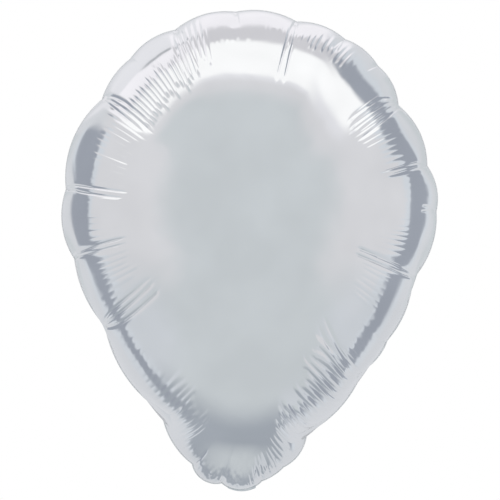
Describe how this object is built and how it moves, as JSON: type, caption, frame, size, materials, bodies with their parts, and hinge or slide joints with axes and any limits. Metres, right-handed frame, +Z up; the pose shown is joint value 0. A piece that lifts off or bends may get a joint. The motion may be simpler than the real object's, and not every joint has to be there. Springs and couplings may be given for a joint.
{
  "type": "foil balloon",
  "caption": "Teardrop-shaped inflated foil balloon: two bulged metallised film sheets welded along a lobed edge, with a folding filling tail at the foot.",
  "frame": {"origin": "centre of lift of the inflated envelope, in the plane of the edge seal", "axes": "+Z up to the round top, -Y out of the front foil, +X to the right as seen from the front"},
  "size_m": [0.2957, 0.196, 0.3802],
  "materials": {
    "foil_silver": "vacuum-metallised film, mirror gloss",
    "seal_silver": "heat-sealed metallised film, finely crimped",
    "tail_silver": "flat metallised film, gloss",
    "valve_film": "milky polyethylene film"
  },
  "bodies": {
    "envelope": {"front_foil": "foil_silver", "back_foil": "foil_silver", "edge_seal": "seal_silver"},
    "tail": {"tail_front_film": "tail_silver", "tail_seal_left": "tail_silver", "tail_seal_right": "tail_silver", "tail_back_film": "tail_silver", "valve_film": "valve_film"}
  },
  "joints": [
    {"name": "tail_fold", "type": "hinge", "parent": "envelope", "child": "tail", "pos_m": [-0.005, 0, -0.2108], "axis": [-1, 0, 0], "range_deg": [0, 120]}
  ]
}
